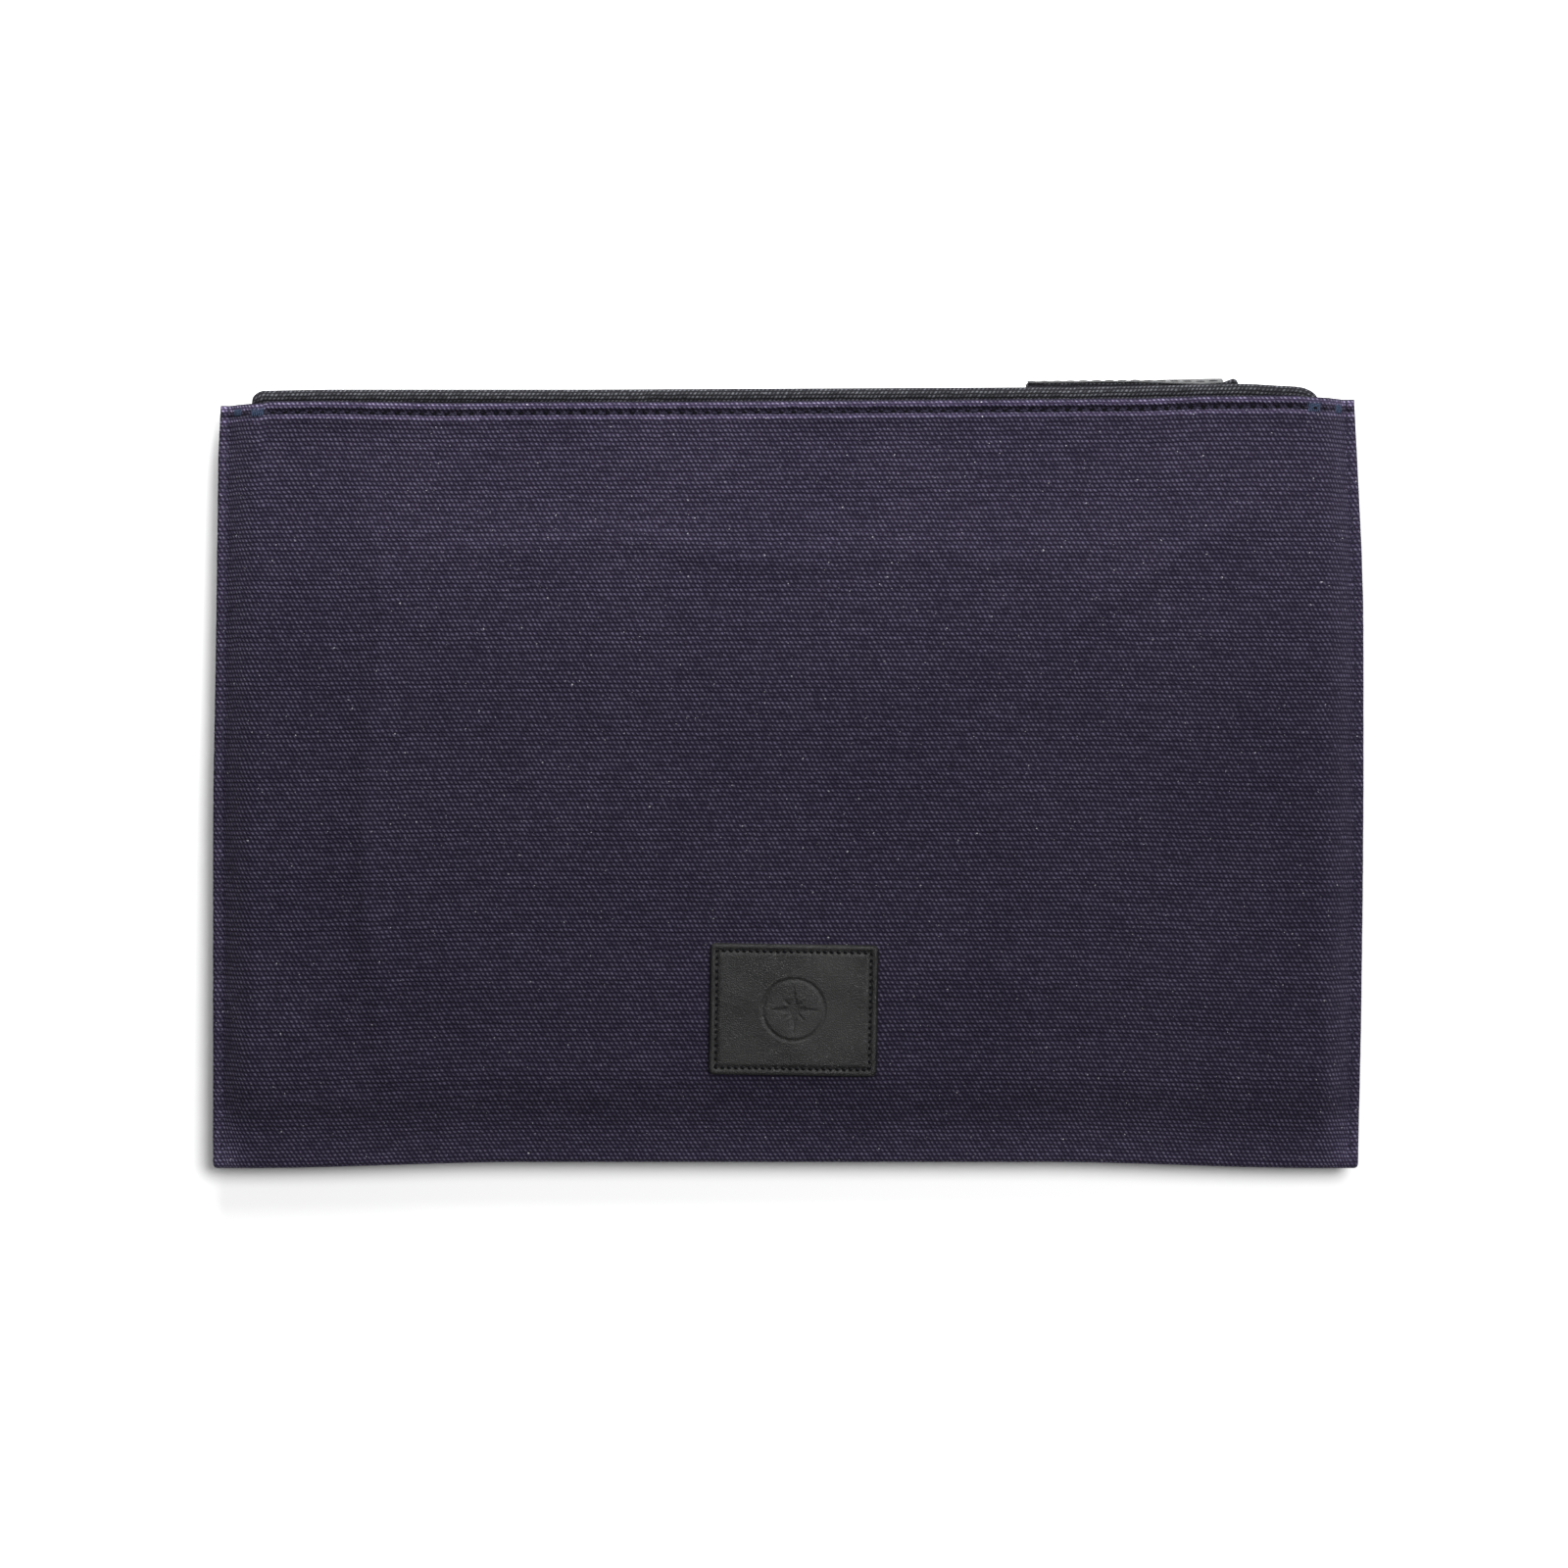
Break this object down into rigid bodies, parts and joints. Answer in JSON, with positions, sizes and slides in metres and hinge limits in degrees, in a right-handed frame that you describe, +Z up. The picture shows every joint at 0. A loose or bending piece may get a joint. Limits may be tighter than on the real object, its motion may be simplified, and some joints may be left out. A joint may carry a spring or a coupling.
{
  "type": "travel document organizer",
  "caption": "Flat zipped canvas pouch for travel papers, lying on its back, with lined slip pockets, a leather patch and a canvas and leather zip pull.",
  "frame": {"origin": "middle of the bounding box's bottom face, on the table under the pouch's back", "axes": "+X along the zip towards the end where the slider rests closed, +Y from the bottom fold to the zip, +Z up out of the front panel"},
  "size_m": [0.24, 0.165, 0.0141],
  "materials": {
    "navy_canvas": "coarse plain-weave cotton canvas, dark navy with a purple cast, matt",
    "black_canvas": "the same coarse canvas in charcoal black, matt",
    "black_leather": "smooth black leather with a soft sheen",
    "lining": "fine twill lining, dark grey, matt",
    "zip_tape": "woven black polyester tape",
    "zip_coil": "black nylon coil with a slight sheen",
    "zip_metal": "dark nickel plate, polished"
  },
  "bodies": {
    "pouch": {"back_panel": "navy_canvas", "back_lining": "lining", "passport_pocket": "lining", "card_slot_1": "lining", "card_slot_2": "lining", "card_slot_3": "lining", "back_zip_flange": "black_canvas", "front_zip_flange_left_end": "black_canvas", "front_zip_flange_right_end": "black_canvas", "back_zip_tape": "zip_tape", "front_zip_tape_left_end": "zip_tape", "front_zip_tape_right_end": "zip_tape", "back_zip_coil": "zip_coil", "front_zip_coil_left_end": "zip_coil", "front_zip_coil_right_end": "zip_coil", "front_top_stop": "zip_metal", "back_top_stop": "zip_metal", "bottom_stop": "zip_metal"},
    "front": {"front_panel": "navy_canvas", "front_lining": "lining", "boarding_pass_pocket": "lining", "front_zip_flange": "black_canvas", "front_zip_tape": "zip_tape", "front_zip_coil": "zip_coil", "leather_patch": "black_leather"},
    "slider": {"slider_body": "zip_metal", "slider_bridge": "zip_metal"},
    "pull_link": {"pull_link": "zip_metal"},
    "pull_strap": {"strap_canvas": "black_canvas", "strap_leather": "black_leather"}
  },
  "joints": [
    {"name": "zip_slide", "type": "slide", "parent": "pouch", "child": "slider", "axis": [-1, 0, 0], "range_m": [0, 0.199]},
    {"name": "link_swing", "type": "hinge", "parent": "slider", "child": "pull_link", "pos_m": [0.0984, 0.0794, 0.0064], "axis": [0, 0, -1], "range_deg": [0, 110]},
    {"name": "strap_swing", "type": "hinge", "parent": "pull_link", "child": "pull_strap", "pos_m": [0.0922, 0.0794, 0.0064], "axis": [0, 0, -1], "range_deg": [0, 65]},
    {"name": "mouth_open", "type": "hinge", "parent": "pouch", "child": "front", "pos_m": [0, -0.08085, 0.0075], "axis": [1, 0, 0], "range_deg": [0, 10]}
  ]
}
